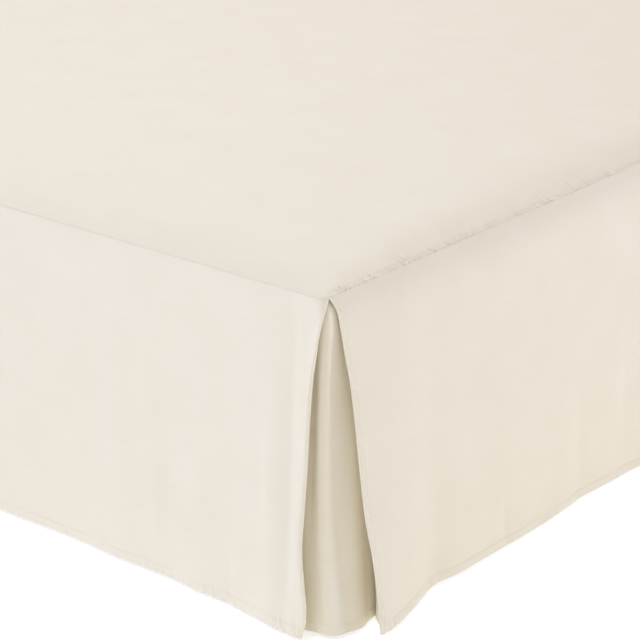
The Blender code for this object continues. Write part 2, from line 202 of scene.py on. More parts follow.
# The main creases of the panels, each a soft ridge or, with a height below 0, a trough
FOOT_CREASES = table(
    Crease,
    (0.039, 0.030, 0.038, 0.420, 0.0120, -0.0038),
    (0.067, 0.060, 0.064, 0.420, 0.0140, 0.0018),
    (0.029, 0.030, 0.027, 0.400, 0.0080, 0.0015),
    (0.076, 0.170, 0.072, 0.290, 0.0080, 0.0011),
    (0.135, 0.330, 0.133, 0.400, 0.0100, -0.0017),
    (0.252, 0.200, 0.246, 0.400, 0.0150, 0.0019),
    (0.288, 0.120, 0.284, 0.330, 0.0140, -0.0013),
    (0.372, 0.180, 0.380, 0.380, 0.0180, 0.0017),
    (0.440, 0.130, 0.446, 0.280, 0.0160, -0.0015))
RIGHT_CREASES = table(
    Crease,
    (0.291, 0.345, 0.292, 0.405, 0.0075, 0.0014),
    (0.311, 0.340, 0.312, 0.405, 0.0075, -0.0016),
    (0.447, 0.290, 0.449, 0.405, 0.0120, 0.0014),
    (0.480, 0.270, 0.482, 0.405, 0.0140, -0.0030),
    (0.545, 0.200, 0.548, 0.400, 0.0220, 0.0022),
    (0.582, 0.200, 0.585, 0.400, 0.0130, -0.0027),
    (0.628, 0.220, 0.630, 0.400, 0.0190, 0.0018),
    (0.690, 0.180, 0.700, 0.400, 0.0180, -0.0024),
    (0.960, 0.240, 0.950, 0.400, 0.0200, 0.0028),
    (1.280, 0.150, 1.290, 0.390, 0.0180, -0.0024),
    (1.700, 0.220, 1.690, 0.400, 0.0200, 0.0026))
LEFT_CREASES = table(
    Crease,
    (0.240, 0.300, 0.244, 0.405, 0.0110, -0.0018),
    (0.420, 0.200, 0.430, 0.400, 0.0150, 0.0022),
    (0.800, 0.160, 0.790, 0.380, 0.0180, -0.0022),
    (1.180, 0.250, 1.190, 0.405, 0.0150, 0.0023),
    (1.560, 0.200, 1.550, 0.390, 0.0180, -0.0022))

INSERT_CREASES = table(
    Crease,
    (0.0800, 0.020, 0.0780, 0.360, 0.0060, -0.0014),
    (0.0905, 0.000, 0.0885, 0.250, 0.0034, 0.0013),
    (0.1180, 0.080, 0.1200, 0.340, 0.0070, 0.0007))

# Puckers where the deck is sewn to the right side panel: the ones that stand out, listed from
# the foot corner, and the fine ones between them
RIGHT_PUCKERS = table(
    Pucker,
    (0.030, 0.0022, 0.0010, 0.016, 0.10, 0.0),
    (0.037, 0.0018, 0.0016, 0.024, -0.25, 6.0),
    (0.043, 0.0017, 0.0011, 0.014, -0.10, 0.0),
    (0.074, 0.0022, 0.0011, 0.026, -0.15, 4.0),
    (0.086, 0.0018, 0.0014, 0.022, 0.05, 0.0),
    (0.093, 0.0016, 0.0010, 0.013, 0.10, 0.0),
    (0.128, 0.0018, 0.0013, 0.016, 0.15, 0.0),
    (0.141, 0.0019, 0.0021, 0.027, -0.05, 5.0),
    (0.149, 0.0020, 0.0021, 0.026, 0.00, 5.0),
    (0.158, 0.0022, 0.0013, 0.022, 0.20, 6.0),
    (0.196, 0.0020, 0.0014, 0.018, 0.10, 0.0),
    (0.226, 0.0020, 0.0011, 0.018, 0.10, 8.0),
    (0.243, 0.0021, 0.0016, 0.024, 0.10, 6.0),
    (0.256, 0.0020, 0.0014, 0.022, 0.15, 6.0),
    (0.309, 0.0022, 0.0013, 0.020, 0.10, 4.0),
    (0.324, 0.0020, 0.0011, 0.016, 0.10, 4.0),
    (0.366, 0.0024, 0.0014, 0.028, 0.15, 6.0),
    (0.405, 0.0022, 0.0013, 0.022, 0.10, 6.0),
    (0.421, 0.0024, 0.0016, 0.030, 0.10, 6.0),
    (0.433, 0.0022, 0.0014, 0.024, 0.10, 6.0),
    (0.487, 0.0026, 0.0013, 0.030, 0.15, 4.0),
    (0.515, 0.0024, 0.0011, 0.026, 0.10, 4.0),
    (0.560, 0.0026, 0.0010, 0.024, 0.10, 4.0))
RIGHT_GATHERS = table(
    Gather,
    (0.024, 0.062, 9, 0.0012, 0.013), (0.064, 0.112, 10, 0.0012, 0.014),
    (0.116, 0.176, 12, 0.0014, 0.015), (0.180, 0.225, 10, 0.0015, 0.016),
    (0.226, 0.305, 17, 0.0015, 0.018), (0.310, 0.352, 8, 0.0009, 0.014),
    (0.356, 0.440, 14, 0.0014, 0.018), (0.450, 0.535, 12, 0.0009, 0.016),
    (0.545, 0.655, 14, 0.0011, 0.018))
# Puckers at the hems, where the doubled edge drags on its stitches
FOOT_HEM_GATHERS = table(
    Gather,
    (0.016, 0.056, 7, 0.0017, 0.024), (0.142, 0.275, 15, 0.0015, 0.015),
    (0.330, 0.420, 6, 0.0006, 0.014))
RIGHT_HEM_GATHERS = table(
    Gather,
    (0.040, 0.078, 5, 0.0013, 0.018), (0.148, 0.176, 4, 0.0017, 0.016),
    (0.300, 0.330, 4, 0.0006, 0.014), (0.388, 0.428, 6, 0.0017, 0.017),
    (0.545, 0.625, 9, 0.0013, 0.015))

# The seams: how deep the stitches draw the deck in, how far in that lies, and the lip over it
SIDE_GROOVE = 0.0006
FOOT_GROOVE = 0.0001
GROOVE_INWARDS = 0.0036
GROOVE_WIDTH = 0.0012
LIP_SHARE = 0.35
LIP_WIDTH = 0.0010
# How much of a deck's pucker goes on below the seam, how far, and how much sooner it dies away
PUCKER_BELOW = 0.35
PUCKER_BELOW_DEPTH = 0.012
PUCKER_BELOW_RATE = 1.8
# The hem: its stitched line, the step of the doubled cloth, and the unevenness round it
STITCH_GROOVE = 0.00020
STITCH_GROOVE_WIDTH = 0.0011
DOUBLED_STEP = 0.00012
HEM_UNEVEN = 0.00028
HEM_UNEVEN_QUICK = 0.00012
HEM_UNEVEN_WIDTH = 0.0075
HEM_PUCKER_DEPTH = 0.025
# Unevenness of the hanging cloth and of the deck, slow and quick
HUNG_WAVES = (0.0011, 0.00035)
DECK_WAVES = (0.0005, 0.00016)

# The sheets as they were cut
FOOT_FLAT_WIDTH = 1.69
SIDE_FLAT_WIDTH = 2.09
INSERT_FLAT_WIDTH = 0.18

# How finely the cloth is divided
SEAM_ROWS = (0.0, 0.0006, 0.0012, 0.0019, 0.0028, 0.0040, 0.0055, 0.0075, 0.0100, 0.0130)
FALL_ROWS = (0.0165, 0.0205, 0.0255, 0.0315, 0.0385, 0.0465, 0.0560)
FALL_END = 0.380
FALL_COUNT = 27
HEM_STEPS = (-0.0090, -0.0045, -0.0022, -0.0010, 0.0, 0.0010, 0.0024, 0.0050, 0.0080, 0.0105,
             0.0116)
FACE_COLUMNS = 760
RETURN_COLUMNS = 16
BEND_COLUMNS = 9
INSERT_COLUMNS = 150
CORNER_STEPS = 9
BAND_ROWS = (0.0, 0.0006, 0.0012, 0.0019, 0.0028, 0.0040, 0.0056, 0.0078, 0.0106, 0.0140,
             0.0180, 0.0225, 0.0280, 0.0350, 0.0440, 0.0560, 0.0720)
DECK_CELL = 0.026
SIDE_CROWDING = 1.5
FOOT_CROWDING = 0.75
STITCH_PITCH = 0.0030
STITCH_LENGTH = 0.0021
STITCH_WIDTH = 0.0005
INSERT_SEED = 40
PUCKER_SPREAD = 0.020   # how far from its place a pucker can still be felt along the seam
HEM_BREADTH = 1.5       # puckers at a hem are broader than the ones at the seam
WELD = 0.00001

# The camera, which looks at the right foot corner as the photograph does
CAMERA_AZIMUTH = 39.56
CAMERA_ELEVATION = 21.4
CAMERA_LENS = 129.4
CAMERA_FROM_CORNER = (1.463, -1.778, 0.879)

# The studio's lights stand round the foot of the bed, most of them well back from it
LIT_SPOT = (0.55, -0.75, 0.30)
FLOOR_GLOW = 0.55
SKY_GLOW = 0.26
SOFTBOXES = (
    Softbox("back_left", -140, 25, 9.0, 4.0, 470, "#e8ecff"),
    Softbox("high_left", -110, 65, 4.5, 2.5, 15, "#ffe8b0"),
    Softbox("left", -80, 30, 9.0, 4.0, 188, "#cfe0ff"),
    Softbox("front_left", -35, 30, 9.0, 4.0, 100, "#2c52ff"),
    Softbox("high_front", 0, 60, 4.5, 2.0, 119, "#dfeaff"),
    Softbox("back_right", 140, 35, 9.0, 4.0, 65, "#ffdca0"),
    Softbox("low_right", 125, 4, 4.5, 1.2, 76, "#c0d0ff"),
)


def depth_rows():
    """Depths of the rows of a hanging piece, close together at its seam and its hem."""
    fall_start = FALL_ROWS[-1]
    fall = [fall_start + (FALL_END - fall_start) * step / FALL_COUNT
            for step in range(1, FALL_COUNT)]
    hem = [DROP - HEM_DEPTH + step for step in HEM_STEPS]
    return list(SEAM_ROWS) + list(FALL_ROWS) + fall + hem + [DROP]


def blend_steps(amount):
    """Ease in and out between 0 and 1."""
    amount = min(max(amount, 0.0), 1.0)
    return amount * amount * (3 - 2 * amount)


def bell(amount):
    """A soft hump, 1 at 0 and nearly 0 past 2."""
    return math.exp(-amount * amount)


def curve_at(rows, place):
    """Read a table of two columns at a place, with a smooth curve through its rows."""
    if place <= rows[0][0]:
        return rows[0][1]
    if place >= rows[-1][0]:
        return rows[-1][1]
    index = 0
    while rows[index + 1][0] < place:
        index += 1
    before = rows[max(index - 1, 0)]
    start, end = rows[index], rows[index + 1]
    after = rows[min(index + 2, len(rows) - 1)]
    span = end[0] - start[0]
    part = (place - start[0]) / span
    rise_in = (end[1] - before[1]) / (end[0] - before[0]) * span
    rise_out = (after[1] - start[1]) / (after[0] - start[0]) * span
    square, cube = part ** 2, part ** 3
    return ((2 * cube - 3 * square + 1) * start[1] + (cube - 2 * square + part) * rise_in
            + (3 * square - 2 * cube) * end[1] + (cube - square) * rise_out)


# The way the cloth hangs


def level_at(roll, depth):
    """Where the cloth has rolled to at a depth below the seam."""
    step = 0.0005
    run = curve_at(roll, depth + step) - curve_at(roll, depth - step)
    tilt = math.atan2(step + min(depth, step), run)
    share = max((depth - ROLL_END) / (DROP - ROLL_END), 0.0) ** FLARE_POWER
    return Level(depth, curve_at(roll, depth), tilt, share)


def hem_out(panel, along):
    """How far a panel's hem stands out from the seam."""
    waves = (fold.out * bell((along - fold.at) / fold.width) for fold in panel.folds)
    return panel.hang + sum(waves)


def flare_at(level, hem):
    """How far the cloth stands out past its roll, where its hem stands out as given."""
    return (hem - level.out) * level.share


def cloth_point(level, along, flare, inside):
    """A point of a cloth that lies a distance inside the outer face, square to it."""
    out = level.out + flare - inside * math.sin(level.tilt)
    return along, out, level.depth + inside * math.cos(level.tilt)


def insert_layer(depth):
    """How far the insert lies inside the panels' face."""
    return INSERT_TOP + (INSERT_DEEP - INSERT_TOP) * blend_steps(depth / INSERT_SETTLES)


def wrap_corner(along, out, depth):
    """Lead the top of a panel round the seam's corner, and let it hang straight lower down."""
    if along >= SEAM_CORNER:
        return along, out
    radius = SEAM_CORNER + out
    turn = (SEAM_CORNER - along) / radius
    held = 1 - blend_steps(depth / CORNER_HELD)
    wrapped_along = SEAM_CORNER - radius * math.sin(turn)
    wrapped_out = -SEAM_CORNER + radius * math.cos(turn)
    return along + (wrapped_along - along) * held, out + (wrapped_out - out) * held


# Seams, creases and puckers, as heights above the smooth cloth


def pucker_height(puckers, along, away):
    """The height of the puckers at a place along a seam and a distance away from it."""
    height = 0.0
    first = bisect.bisect_left(puckers, along - PUCKER_SPREAD, key=lambda pucker: pucker.at)
    for pucker in puckers[first:]:
        if pucker.at > along + PUCKER_SPREAD:
            break
        if away > pucker.reach:
            continue
        middle = pucker.at + pucker.lean * away + pucker.bend * away * away
        offset = (along - middle) / pucker.width
        if abs(offset) < 3.0:
            length = blend_steps(1 - away / pucker.reach)
            height += pucker.height * (1 - 0.9 * offset * offset) * bell(offset * 0.9) * length
    return height


def seam_uneven(along, seed):
    """How a seam's height varies along it, round 1."""
    return 1 + 0.35 * noise.noise(Vector((along * 90, seed, 0.5)))


def seam_lip(groove, along, away, seed):
    """The lip where the two layers of a seam turn over its edge."""
    return LIP_SHARE * groove * seam_uneven(along, seed) * bell(away / LIP_WIDTH)


def seam_height(groove, along, away, seed):
    """The deck beside a seam: its lip, and the groove that its stitches draw behind it."""
    drawn_in = bell((away - GROOVE_INWARDS) / GROOVE_WIDTH)
    return seam_lip(groove, along, away, seed) - groove * seam_uneven(along, seed) * drawn_in


def crease_height(creases, along, depth):
    """The height of a panel's creases at a place."""
    height = 0.0
    for crease in creases:
        run_along = crease.end_along - crease.along
        run_depth = crease.end_depth - crease.depth
        length = math.hypot(run_along, run_depth)
        walked = ((along - crease.along) * run_along + (depth - crease.depth) * run_depth) / length
        across = ((along - crease.along) * run_depth - (depth - crease.depth) * run_along) / length
        if abs(across) < 3 * crease.width and -0.2 * length < walked < 1.2 * length:
            fade = bell(2.2 * (walked / length - 0.5))
            height += crease.height * bell(across / crease.width) * fade
    return height


def wave_height(along, depth, seed):
    """Small unevenness of a hanging cloth, more towards the hem."""
    loose = blend_steps(depth / 0.16)
    slow = noise.noise(Vector((along * 7.0, depth * 2.5, seed)))
    quick = noise.noise(Vector((along * 24.0, depth * 6.0, seed + 7.0)))
    return loose * (HUNG_WAVES[0] * slow + HUNG_WAVES[1] * quick)


def hem_height(along, depth, seed):
    """The stitched line of the hem, the doubled cloth below it and the puckers round it."""
    from_stitch = depth - (DROP - HEM_DEPTH)
    uneven = noise.noise(Vector((along * 75.0, seed, 3.5)))
    quick = noise.noise(Vector((along * 190.0, seed, 6.5)))
    stitch = -STITCH_GROOVE * (1 + 0.7 * quick) * bell(from_stitch / STITCH_GROOVE_WIDTH)
    doubled = DOUBLED_STEP * blend_steps(from_stitch / 0.0015)
    near = bell(from_stitch / HEM_UNEVEN_WIDTH)
    return stitch + doubled + near * (HEM_UNEVEN * uneven + HEM_UNEVEN_QUICK * quick)


def panel_height(panel, along, depth):
    """All that stands out of a panel's smooth face."""
    height = seam_lip(panel.groove, along, depth, panel.seed)
    height += wave_height(along, depth, panel.seed)
    height += hem_height(along, depth, panel.seed) + crease_height(panel.creases, along, depth)
    if depth < PUCKER_BELOW_DEPTH:
        below = pucker_height(panel.puckers, along, PUCKER_BELOW_RATE * depth)
        height += PUCKER_BELOW * below
    if depth > DROP - HEM_PUCKER_DEPTH:
        height += pucker_height(panel.hem_puckers, along, DROP - depth)
    return height


def scatter_puckers(gathers, seed, start=0.0, placed=(), breadth=1.0):
    """Set out the puckers of each gather, none quite like the next, beside those placed."""
    draw = random.Random(seed)
    puckers = list(placed)
    for gather in gathers:
        pitch = (gather.end - gather.start) / gather.ridges
        for number in range(gather.ridges):
            puckers.append(Pucker(
                at=start + gather.start + pitch * (number + draw.uniform(0.15, 0.85)),
                width=breadth * draw.uniform(0.0014, 0.0026),
                height=gather.height * draw.uniform(0.45, 1.0),
                reach=gather.reach * draw.uniform(0.6, 1.0),
                lean=draw.uniform(-0.25, 0.35),
                bend=draw.uniform(-6.0, 14.0)))
    return sorted(puckers)


def plain_gathers(length, height, seed):
    """Gathers for a seam that has them all along, at uneven places."""
    draw = random.Random(seed)
    gathers = []
    start = draw.uniform(0.02, 0.06)
    while start < length - 0.08:
        reach = draw.uniform(0.03, 0.08)
        count = max(int(reach / draw.uniform(0.007, 0.012)), 2)
        gathers.append(Gather(start, start + reach, count, height * draw.uniform(0.5, 1.0),
                              draw.uniform(0.012, 0.020)))
        start += reach + draw.uniform(0.015, 0.09)
    return gathers


# Rows of points for each hanging piece


def lift_at(turn, depth):
    """How far a panel's edge has lifted outwards at a depth, less again towards the hem."""
    return turn.lift * blend_steps(depth / 0.05) * (1 - 0.8 * blend_steps((depth - 0.30) / 0.10))


def turned_edge(panel, level, hem_at):
    """A panel's folded edge at a depth, from its hidden end to the start of its face."""
    turn = panel.turn
    depth = level.depth
    thick = turn.top + (turn.bottom - turn.top) * blend_steps(depth / 0.11)
    radius = thick / 2
    bend = curve_at(panel.edge, depth) + radius
    layer = insert_layer(depth)
    insert_flare = (panel.insert_hem - level.out + layer) * level.share
    near_flare = flare_at(level, hem_at(bend))
    lift = lift_at(turn, depth)
    points = []
    for step in range(RETURN_COLUMNS):
        along = PLEAT_DEPTH + (bend - PLEAT_DEPTH) * step / RETURN_COLUMNS
        flare = flare_at(level, hem_at(along))
        share = blend_steps((along - bend) / RETURN_SPREAD)
        inside = (thick - lift) * (1 - share) + (layer - 0.0006) * share
        points.append(cloth_point(level, along, flare + (insert_flare - flare) * share, inside))
    for step in range(BEND_COLUMNS):
        angle = math.pi * step / BEND_COLUMNS
        inside = radius * (1 + math.cos(angle)) - lift
        points.append(cloth_point(level, bend - radius * math.sin(angle), near_flare, inside))
    return points, bend


def face_point(panel, level, along, past):
    """A point of a panel's face, a distance past the nearest folded edge, lifted beside it."""
    turn = panel.turn
    flare = flare_at(level, hem_out(panel, along))
    height = panel_height(panel, along, level.depth) * blend_steps(past / 0.004 + 0.15)
    height += lift_at(turn, level.depth) * max(1 - past / turn.reach, 0.0) ** 2
    height += turn.bead * (bell((past - 0.0010) / 0.0012) - bell((past - 0.0042) / 0.0014))
    return cloth_point(level, along, flare, -height)


def side_row(panel, depth):
    """One row of a side panel at a depth, from its turned back edge to the head end."""
    level = level_at(panel.roll, depth)
    points, start = turned_edge(panel, level, lambda along: hem_out(panel, along))
    end = SIDE_SEAM - HEAD_SHORT
    for step in range(FACE_COLUMNS + 1):
        along = start + (end - start) * (step / FACE_COLUMNS) ** SIDE_CROWDING
        points.append(face_point(panel, level, along, along - start))
    return [(*wrap_corner(along, out, depth), sunk) for along, out, sunk in points]


def foot_row(panel, depth):
    """One row of the foot panel at a depth, from one turned back edge to the other."""
    level = level_at(panel.roll, depth)
    points, start = turned_edge(panel, level, lambda along: hem_out(panel, along))
    far, far_start = turned_edge(panel, level, lambda along: hem_out(panel, FOOT_SEAM - along))
    end = FOOT_SEAM - far_start
    for step in range(FACE_COLUMNS + 1):
        part = step / FACE_COLUMNS
        crowded = (1 - math.cos(math.pi * part)) / 2
        along = start + (end - start) * (part + (crowded - part) * FOOT_CROWDING)
        points.append(face_point(panel, level, along, min(along - start, end - along)))
    points += [(FOOT_SEAM - along, out, sunk) for along, out, sunk in reversed(far)]
    row = []
    for along, out, sunk in points:
        if along < FOOT_SEAM / 2:
            row.append((*wrap_corner(along, out, depth), sunk))
        else:
            wrapped, wrapped_out = wrap_corner(FOOT_SEAM - along, out, depth)
            row.append((FOOT_SEAM - wrapped, wrapped_out, sunk))
    return row


def insert_top(part, foot_level, side_level, layer):
    """A point of the insert's plan under the roll: straight, round the corner, straight."""
    to_foot = SEAM_CORNER + foot_level.out - layer * math.sin(foot_level.tilt)
    to_side = SEAM_CORNER + side_level.out - layer * math.sin(side_level.tilt)
    straight = PLEAT_DEPTH - SEAM_CORNER
    bend = (to_foot + to_side) * math.pi / 4
    length = 2 * straight + bend
    walked = part * length
    if walked < straight:
        return walked - PLEAT_DEPTH, SEAM_CORNER - to_foot, 0.0
    if walked > length - straight:
        return to_side - SEAM_CORNER, PLEAT_DEPTH - (length - walked), 1.0
    turn = (walked - straight) / bend
    angle = turn * math.pi / 2
    return to_side * math.sin(angle) - SEAM_CORNER, SEAM_CORNER - to_foot * math.cos(angle), turn


def insert_hem_curves():
    """The insert's hem as two tables against the distance walked along it."""
    walked = 0.0
    over_rows, along_rows = [], []
    previous = INSERT_HEM[0]
    for row in INSERT_HEM:
        walked += math.hypot(row.over - previous.over, row.along - previous.along)
        over_rows.append((walked, row.over))
        along_rows.append((walked, row.along))
        previous = row
    return walked, over_rows, along_rows


def insert_row(creases, depth):
    """One row of an insert at a depth, from behind the foot panel to behind the side panel."""
    length, over_rows, along_rows = insert_hem_curves()
    foot_level, side_level = level_at(FOOT_ROLL, depth), level_at(SIDE_ROLL, depth)
    layer = insert_layer(depth)
    share = side_level.share
    sink = SINK_WAY * curve_at(INSERT_SINK, depth)
    plan = []
    tilts = []
    for step in range(INSERT_COLUMNS + 1):
        part = step / INSERT_COLUMNS
        top_over, top_along, turn = insert_top(part, foot_level, side_level, layer)
        over = top_over + (curve_at(over_rows, part * length) - top_over) * share
        along = top_along + (curve_at(along_rows, part * length) - top_along) * share
        plan.append(Vector((along, over)) + sink * bell((part - 0.5) / 0.25))
        tilts.append(foot_level.tilt + (side_level.tilt - foot_level.tilt) * turn)
    points = []
    for step, (spot, tilt) in enumerate(zip(plan, tilts)):
        run = plan[min(step + 1, INSERT_COLUMNS)] - plan[max(step - 1, 0)]
        out = Vector((-run.y, run.x)).normalized()
        walked = step / INSERT_COLUMNS * length
        height = crease_height(creases, walked, depth) + hem_height(walked, depth, INSERT_SEED)
        height += 0.5 * wave_height(walked, depth, INSERT_SEED)
        spot = spot + out * height * math.sin(tilt)
        points.append((spot.x, spot.y, depth + layer * math.cos(tilt)))
    return points


# Making the cloth


def finish_piece(name, edit, material, crease=None):
    """Turn a bmesh into a named object in the scene."""
    mesh = bpy.data.meshes.new(name)
    edit.to_mesh(mesh)
    edit.free()
    mesh.shade_smooth()
    if crease is not None:
        mesh.set_sharp_from_angle(angle=crease)
    mesh.materials.append(material)
    piece = bpy.data.objects.new(name, mesh)
    bpy.context.scene.collection.objects.link(piece)
    return piece


def thicken(piece, thickness):
    """Give a sheet its thickness, inwards from its outer face."""
    solidify = piece.modifiers.new("cloth", "SOLIDIFY")
    solidify.thickness = thickness
    solidify.offset = -1.0
    if piece.vertex_groups:
        solidify.vertex_group = piece.vertex_groups[0].name


def hang_cloth(name, side, row_at, material):
    """Cut a sheet as a grid and hang each of its points from the seam of its side."""
    depths = depth_rows()
    rows = [row_at(depth) for depth in depths]
    across, down = len(rows[0]) - 1, len(rows) - 1
    walked = [0.0]
    middle = rows[down // 2]
    for before, after in zip(middle, middle[1:]):
        walked.append(walked[-1] + math.dist(before, after))
    edit = bmesh.new()
    flat = edit.loops.layers.uv.new("flat")
    weights = edit.verts.layers.deform.verify()
    bmesh.ops.create_grid(edit, x_segments=across, y_segments=down, size=0.5)
    for vertex in edit.verts:
        column = round((vertex.co.x + 0.5) * across)
        row = round((0.5 - vertex.co.y) * down)
        for loop in vertex.link_loops:
            loop[flat].uv = (walked[column], -depths[row])
        along, out, sunk = rows[row][column]
        vertex.co = side.corner + side.along * along + side.out * out - Vector((0, 0, sunk))
        vertex[weights][0] = 1.0 if depths[row] > DROP - HEM_DEPTH else CLOTH / HEM_CLOTH
    if side.along.cross(Vector((0, 0, 1))).dot(side.out) < 0:
        bmesh.ops.reverse_faces(edit, faces=edit.faces)
    piece = finish_piece(name, edit, material)
    piece.vertex_groups.new(name="thickness")
    thicken(piece, HEM_CLOTH)
    return piece


def one_stitch():
    """The points and faces of a stitch of unit size, lying along X."""
    edit = bmesh.new()
    bmesh.ops.create_uvsphere(edit, u_segments=6, v_segments=4, radius=1.0)
    points = [vertex.co.copy() for vertex in edit.verts]
    faces = [[vertex.index for vertex in face.verts] for face in edit.faces]
    edit.free()
    return points, faces


def sew_hem(name, side, row, first, last, material):
    """Machine stitches along a hanging piece's hem, between two columns of the row they follow."""
    spots = [side.corner + side.along * along + side.out * out - Vector((0, 0, sunk))
             for along, out, sunk in row[first:last]]
    turned = side.along.cross(Vector((0, 0, 1))).dot(side.out) > 0
    stitch_points, stitch_faces = one_stitch()
    points, faces = [], []
    due = STITCH_PITCH / 2
    for start, end in zip(spots, spots[1:]):
        run = end - start
        while due < run.length:
            way = run.normalized()
            out = way.cross(Vector((0, 0, 1))).normalized() * (1 if turned else -1)
            place = start + way * due + out * STITCH_WIDTH * 0.25
            begin = len(points)
            for point in stitch_points:
                points.append(place + way * point.x * STITCH_LENGTH / 2
                              + out * point.y * STITCH_WIDTH / 2
                              + Vector((0, 0, point.z * STITCH_WIDTH / 2)))
            faces += [[begin + corner for corner in face] for face in stitch_faces]
            due += STITCH_PITCH
        due -= run.length
    mesh = bpy.data.meshes.new(name)
    mesh.from_pydata(points, [], faces)
    edit = bmesh.new()
    edit.from_mesh(mesh)
    bpy.data.meshes.remove(mesh)
    bmesh.ops.recalc_face_normals(edit, faces=edit.faces)
    return finish_piece(name, edit, material)


# The deck


def deck_strips():
    """The four straight stretches of the deck's seam, anticlockwise from the right foot corner."""
    right, head, left, foot = Vector((1, 0)), Vector((0, 1)), Vector((-1, 0)), Vector((0, -1))
    return (
        Strip(right, head, 1500, 1.6, SIDE_GROOVE,
              scatter_puckers(RIGHT_GATHERS, 3, 0.0, RIGHT_PUCKERS)
              + scatter_puckers(plain_gathers(SIDE_SEAM - 0.66, 0.0007, 5), 6, 0.68)),
        Strip(head, left, 200, 1.0, FOOT_GROOVE,
              scatter_puckers(plain_gathers(FOOT_SEAM, 0.0003, 8), 9)),
        Strip(left, foot, 380, 1.0, SIDE_GROOVE,
              scatter_puckers(plain_gathers(SIDE_SEAM, 0.0007, 11), 12)),
        Strip(foot, right, 400, 0.8, FOOT_GROOVE,
              scatter_puckers(plain_gathers(FOOT_SEAM, 0.00022, 14), 15)),
    )


def deck_rise(x, y):
    """How far the smooth deck lies above its seam, low beside the sides and round the corners."""
    from_side, from_end = max(SEAM_X - abs(x), 0.0), max(SEAM_Y - abs(y), 0.0)
    side, end = curve_at(SIDE_CROWN, from_side), curve_at(FOOT_CROWN, from_end)
    if side * end == 0:
        return 0.0
    rise = side * end / (side ** 4 + end ** 4) ** 0.25
    if from_side < SEAM_CORNER and from_end < SEAM_CORNER:
        inside = SEAM_CORNER - math.hypot(SEAM_CORNER - from_side, SEAM_CORNER - from_end)
        rise *= max(inside, 0.0) / min(from_side, from_end)
    return rise


def deck_wave(x, y):
    """The slight unevenness of the flat deck."""
    slow = noise.noise(Vector((x * 3.0, y * 3.0, 60.0)))
    quick = noise.noise(Vector((x * 9.0, y * 7.0, 63.0)))
    return DECK_WAVES[0] * slow + DECK_WAVES[1] * quick


def deck_point(x, y, height, loose):
    """A point of the deck, raised square to the cloth by a small height."""
    step = 0.0005
    inner_x, inner_y = x - math.copysign(2 * step, x), y - math.copysign(2 * step, y)
    slope_x = (deck_rise(inner_x + step, inner_y) - deck_rise(inner_x - step, inner_y)) / (2 * step)
    slope_y = (deck_rise(inner_x, inner_y + step) - deck_rise(inner_x, inner_y - step)) / (2 * step)
    square = Vector((-slope_x, -slope_y, 1)).normalized()
    level = SEAM_HEIGHT + deck_rise(x, y) + deck_wave(x, y) * loose
    return Vector((x, y + CENTRE_Y, level)) + square * height


def crowd(part, crowding):
    """Move places on a stretch from 0 to 1 towards its start, or its end for a crowding below 1."""
    if crowding > 1:
        return part ** crowding
    return 1 - (1 - part) ** (1 / crowding)


def deck_ring(strips, inwards):
    """Points of the deck all round the bed, a distance inwards of its seam."""
    radius = max(SEAM_CORNER - inwards, SHARPEST)
    reach = Vector((SEAM_X - inwards - radius, SEAM_Y - inwards - radius))
    seam = Vector((SEAM_X, SEAM_Y))
    loose = blend_steps(inwards / 0.05)
    points = []
    for strip in strips:
        middle = strip.out * (abs(strip.out.dot(reach)) + radius)
        half = abs(strip.along.dot(reach))
        seam_half = abs(strip.along.dot(seam))
        for step in range(strip.columns):
            part = crowd(step / strip.columns, strip.crowding)
            plan = middle + strip.along * half * (2 * part - 1)
            along = seam_half + half * (2 * part - 1)
            height = seam_height(strip.groove, along, inwards, strip.columns)
            height += pucker_height(strip.puckers, along, inwards)
            points.append(deck_point(plan.x, plan.y, height, loose))
        centre = strip.out * abs(strip.out.dot(reach)) + strip.along * half
        for step in range(CORNER_STEPS):
            turn = math.pi / 2 * step / CORNER_STEPS
            plan = centre + (strip.out * math.cos(turn) + strip.along * math.sin(turn)) * radius
            height = seam_height(strip.groove, turn * radius, inwards, strip.columns)
            points.append(deck_point(plan.x, plan.y, height, loose))
    return points


